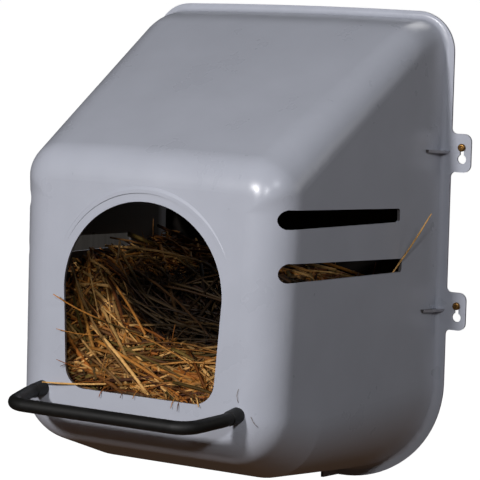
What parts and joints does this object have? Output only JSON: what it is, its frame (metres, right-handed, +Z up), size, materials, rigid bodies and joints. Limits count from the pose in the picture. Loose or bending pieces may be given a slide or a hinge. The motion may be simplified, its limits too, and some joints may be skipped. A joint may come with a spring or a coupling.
{
  "type": "nesting box",
  "caption": "Wall-hung plastic nesting box with an arched doorway, sloped roof, vent slots, a bent perch bar across the front and a bed of straw inside.",
  "frame": {"origin": "on the wall plane, at the centre of the four wall screws", "axes": "+X to the right as seen from the front, +Y into the wall along the screws, +Z up"},
  "size_m": [0.4014, 0.4335, 0.5079],
  "materials": {
    "grey_plastic": "satin",
    "black_coated_tube": "satin",
    "black_plastic": "satin",
    "zinc_steel": "satin",
    "brass_plate": "satin",
    "straw": "matte"
  },
  "bodies": {
    "wall_fixings": {"wall_screws": "brass_plate"},
    "box": {"hood": "grey_plastic", "perch_bar": "black_coated_tube", "left_perch_collar": "black_plastic", "right_perch_collar": "black_plastic", "left_perch_insert": "zinc_steel", "right_perch_insert": "zinc_steel", "perch_washers": "zinc_steel", "perch_bolts": "zinc_steel", "straw_bed": "straw"}
  },
  "joints": [
    {"name": "lift_off", "type": "slide", "parent": "wall_fixings", "child": "box", "axis": [0, 0, 1], "range_m": [0, 0.0123]}
  ]
}
